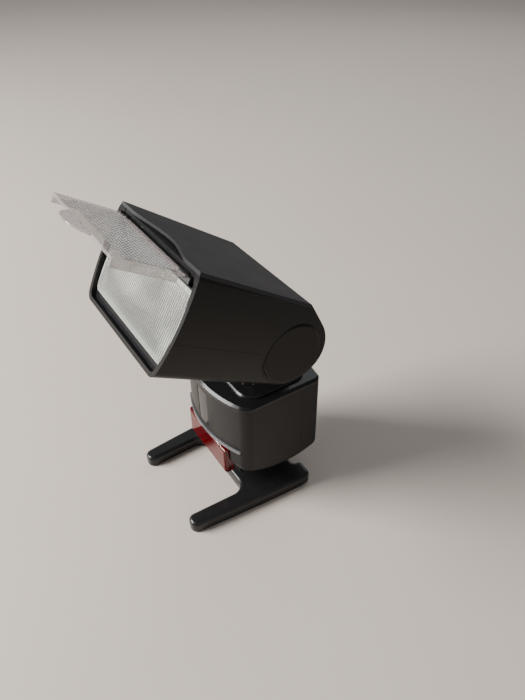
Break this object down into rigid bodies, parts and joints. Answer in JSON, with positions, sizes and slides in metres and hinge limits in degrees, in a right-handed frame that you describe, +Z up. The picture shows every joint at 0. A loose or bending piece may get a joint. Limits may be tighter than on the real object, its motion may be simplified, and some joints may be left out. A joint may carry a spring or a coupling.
{
  "type": "speedlight flash",
  "caption": "Compact camera flash with a tilting and swivelling head, pull-out clear wide-angle panel, red focus lamp window and a slide-on mini stand.",
  "frame": {"origin": "axis of the tripod socket, on the underside of the mini stand", "axes": "+Z up, the flash faces -Y, +X to the right when seen from the front of the flash looking along +Y"},
  "size_m": [0.0784, 0.1058, 0.1746],
  "materials": {
    "body_black": "satin moulded, fine spark texture",
    "head_black": "satin moulded",
    "cover_grey": "matte dark grey",
    "gloss_black": "polished",
    "stand_black": "satin moulded",
    "clear_panel": "clear polycarbonate with moulded prisms",
    "lens_clear": "clear acrylic fresnel",
    "red_clear": "transparent dark red acrylic",
    "smoke_window": "dark infrared window",
    "trim_grey": "painted bevel",
    "reflector_bright": "bright anodised",
    "steel": "satin",
    "chrome_foot": "plated",
    "brass": "turned",
    "key_rubber": "soft matte",
    "board_green": "solder resist",
    "cell_wrap": "plain printed sleeve",
    "tube_glass": "quartz",
    "sleeve_rubber": "silicone",
    "inner_grey": "moulded",
    "lcd_glass": "reflective display"
  },
  "bodies": {
    "stand": {"mini_stand": "stand_black", "stand_thread_insert": "brass"},
    "flash_body": {"body_front_shell": "body_black", "body_rear_shell": "body_black", "top_deck": "gloss_black", "sensor_window": "smoke_window", "front_trim": "trim_grey", "lcd_window": "smoke_window", "lamp_housing": "inner_grey", "focus_lamp": "red_clear", "red_window": "red_clear", "battery_tray": "inner_grey", "battery_cells": "cell_wrap", "battery_contacts": "steel", "main_board": "board_green", "main_capacitor": "cell_wrap", "lcd_module": "lcd_glass", "shoe_foot": "chrome_foot", "shoe_block": "body_black", "shoe_screws": "steel"},
    "battery_door": {"battery_door": "body_black"},
    "contact_pins": {"contact_pins": "brass"},
    "lock_lever": {"lock_lever": "body_black"},
    "lock_pin": {"lock_pin": "steel"},
    "mode_button": {"mode_button": "key_rubber"},
    "zoom_button": {"zoom_button": "key_rubber"},
    "minus_button": {"minus_button": "key_rubber"},
    "plus_button": {"plus_button": "key_rubber"},
    "test_button": {"test_button": "key_rubber"},
    "power_switch": {"power_switch": "body_black"},
    "neck": {"turntable": "body_black", "neck_yoke": "body_black", "swivel_retainer": "steel"},
    "head": {"head_upper_shell": "head_black", "head_lower_shell": "head_black", "head_top_cover": "cover_grey", "top_bridge": "inner_grey", "lens_bezel": "gloss_black", "fresnel_lens": "lens_clear", "panel_tray": "inner_grey", "zoom_frame": "steel", "zoom_rods": "steel", "zoom_motor": "steel", "trigger_coil": "inner_grey", "pivot_pins": "steel", "pivot_cover": "head_black", "release_ring": "head_black", "release_spring": "steel", "head_screws": "steel"},
    "release_button": {"release_button": "inner_grey"},
    "lead_screw": {"lead_screw": "brass"},
    "zoom_carriage": {"zoom_carriage": "inner_grey", "reflector": "reflector_bright", "flash_tube": "tube_glass", "tube_sleeves": "sleeve_rubber"},
    "panel_carriage": {"panel_carriage": "inner_grey", "panel_pins": "steel"},
    "wide_panel": {"wide_panel": "clear_panel"}
  },
  "joints": [
    {"name": "shoe_slide", "type": "slide", "parent": "stand", "child": "flash_body", "axis": [0, 1, 0], "range_m": [0, 0.022]},
    {"name": "lock_turn", "type": "hinge", "parent": "flash_body", "child": "lock_lever", "pos_m": [0, 0, 0.0128], "axis": [0, 0, 1], "range_deg": [-50, 0]},
    {"name": "lock_pin_drop", "type": "slide", "parent": "flash_body", "child": "lock_pin", "axis": [0, 0, 1], "range_m": [-0.0021, 0]},
    {"name": "contact_press", "type": "slide", "parent": "flash_body", "child": "contact_pins", "axis": [0, 0, 1], "range_m": [0, 0.0003], "stiffness_N_per_m": 1500},
    {"name": "mode_press", "type": "slide", "parent": "flash_body", "child": "mode_button", "axis": [0, -1, 0], "range_m": [0, 0.0006], "stiffness_N_per_m": 1500},
    {"name": "zoom_press", "type": "slide", "parent": "flash_body", "child": "zoom_button", "axis": [0, -1, 0], "range_m": [0, 0.0006], "stiffness_N_per_m": 1500},
    {"name": "minus_press", "type": "slide", "parent": "flash_body", "child": "minus_button", "axis": [0, -1, 0], "range_m": [0, 0.0006], "stiffness_N_per_m": 1500},
    {"name": "plus_press", "type": "slide", "parent": "flash_body", "child": "plus_button", "axis": [0, -1, 0], "range_m": [0, 0.0006], "stiffness_N_per_m": 1500},
    {"name": "test_press", "type": "slide", "parent": "flash_body", "child": "test_button", "axis": [0, -1, 0], "range_m": [0, 0.0006], "stiffness_N_per_m": 1500},
    {"name": "power_slide", "type": "slide", "parent": "flash_body", "child": "power_switch", "axis": [1, 0, 0], "range_m": [0, 0.005]},
    {"name": "door_swing", "type": "hinge", "parent": "flash_body", "child": "battery_door", "pos_m": [-0.0295, 0.005, 0.0272], "axis": [0, -1, 0], "range_deg": [0, 95]},
    {"name": "swivel", "type": "hinge", "parent": "flash_body", "child": "neck", "pos_m": [0, 0.0054, 0.0745], "axis": [0, 0, 1], "range_deg": [-180, 90]},
    {"name": "tilt", "type": "hinge", "parent": "neck", "child": "head", "pos_m": [0, 0.0054, 0.0995], "axis": [-1, 0, 0], "range_deg": [-31, 59]},
    {"name": "release_press", "type": "slide", "parent": "head", "child": "release_button", "axis": [1, 0, 0], "range_m": [0, 0.0015], "stiffness_N_per_m": 1200},
    {"name": "panel_slide", "type": "slide", "parent": "head", "child": "panel_carriage", "axis": [0, -0.8572, 0.515], "range_m": [-0.036, 0]},
    {"name": "panel_fold", "type": "hinge", "parent": "panel_carriage", "child": "wide_panel", "pos_m": [0, -0.04079, 0.15426], "axis": [1, 0, 0], "range_deg": [0, 90]},
    {"name": "zoom_slide", "type": "slide", "parent": "head", "child": "zoom_carriage", "axis": [0, -0.8572, 0.515], "range_m": [-0.012, 0]},
    {"name": "zoom_screw", "type": "hinge", "parent": "head", "child": "lead_screw", "pos_m": [-0.0285, -0.02443, 0.10809], "axis": [0, -0.8572, 0.515], "range_deg": [-2160, 0]}
  ],
  "couplings": [
    {"joint": "lock_turn", "follows": "lock_pin_drop", "rad_per_m": 415.55},
    {"joint": "zoom_screw", "follows": "zoom_slide", "rad_per_m": 3141.6}
  ]
}
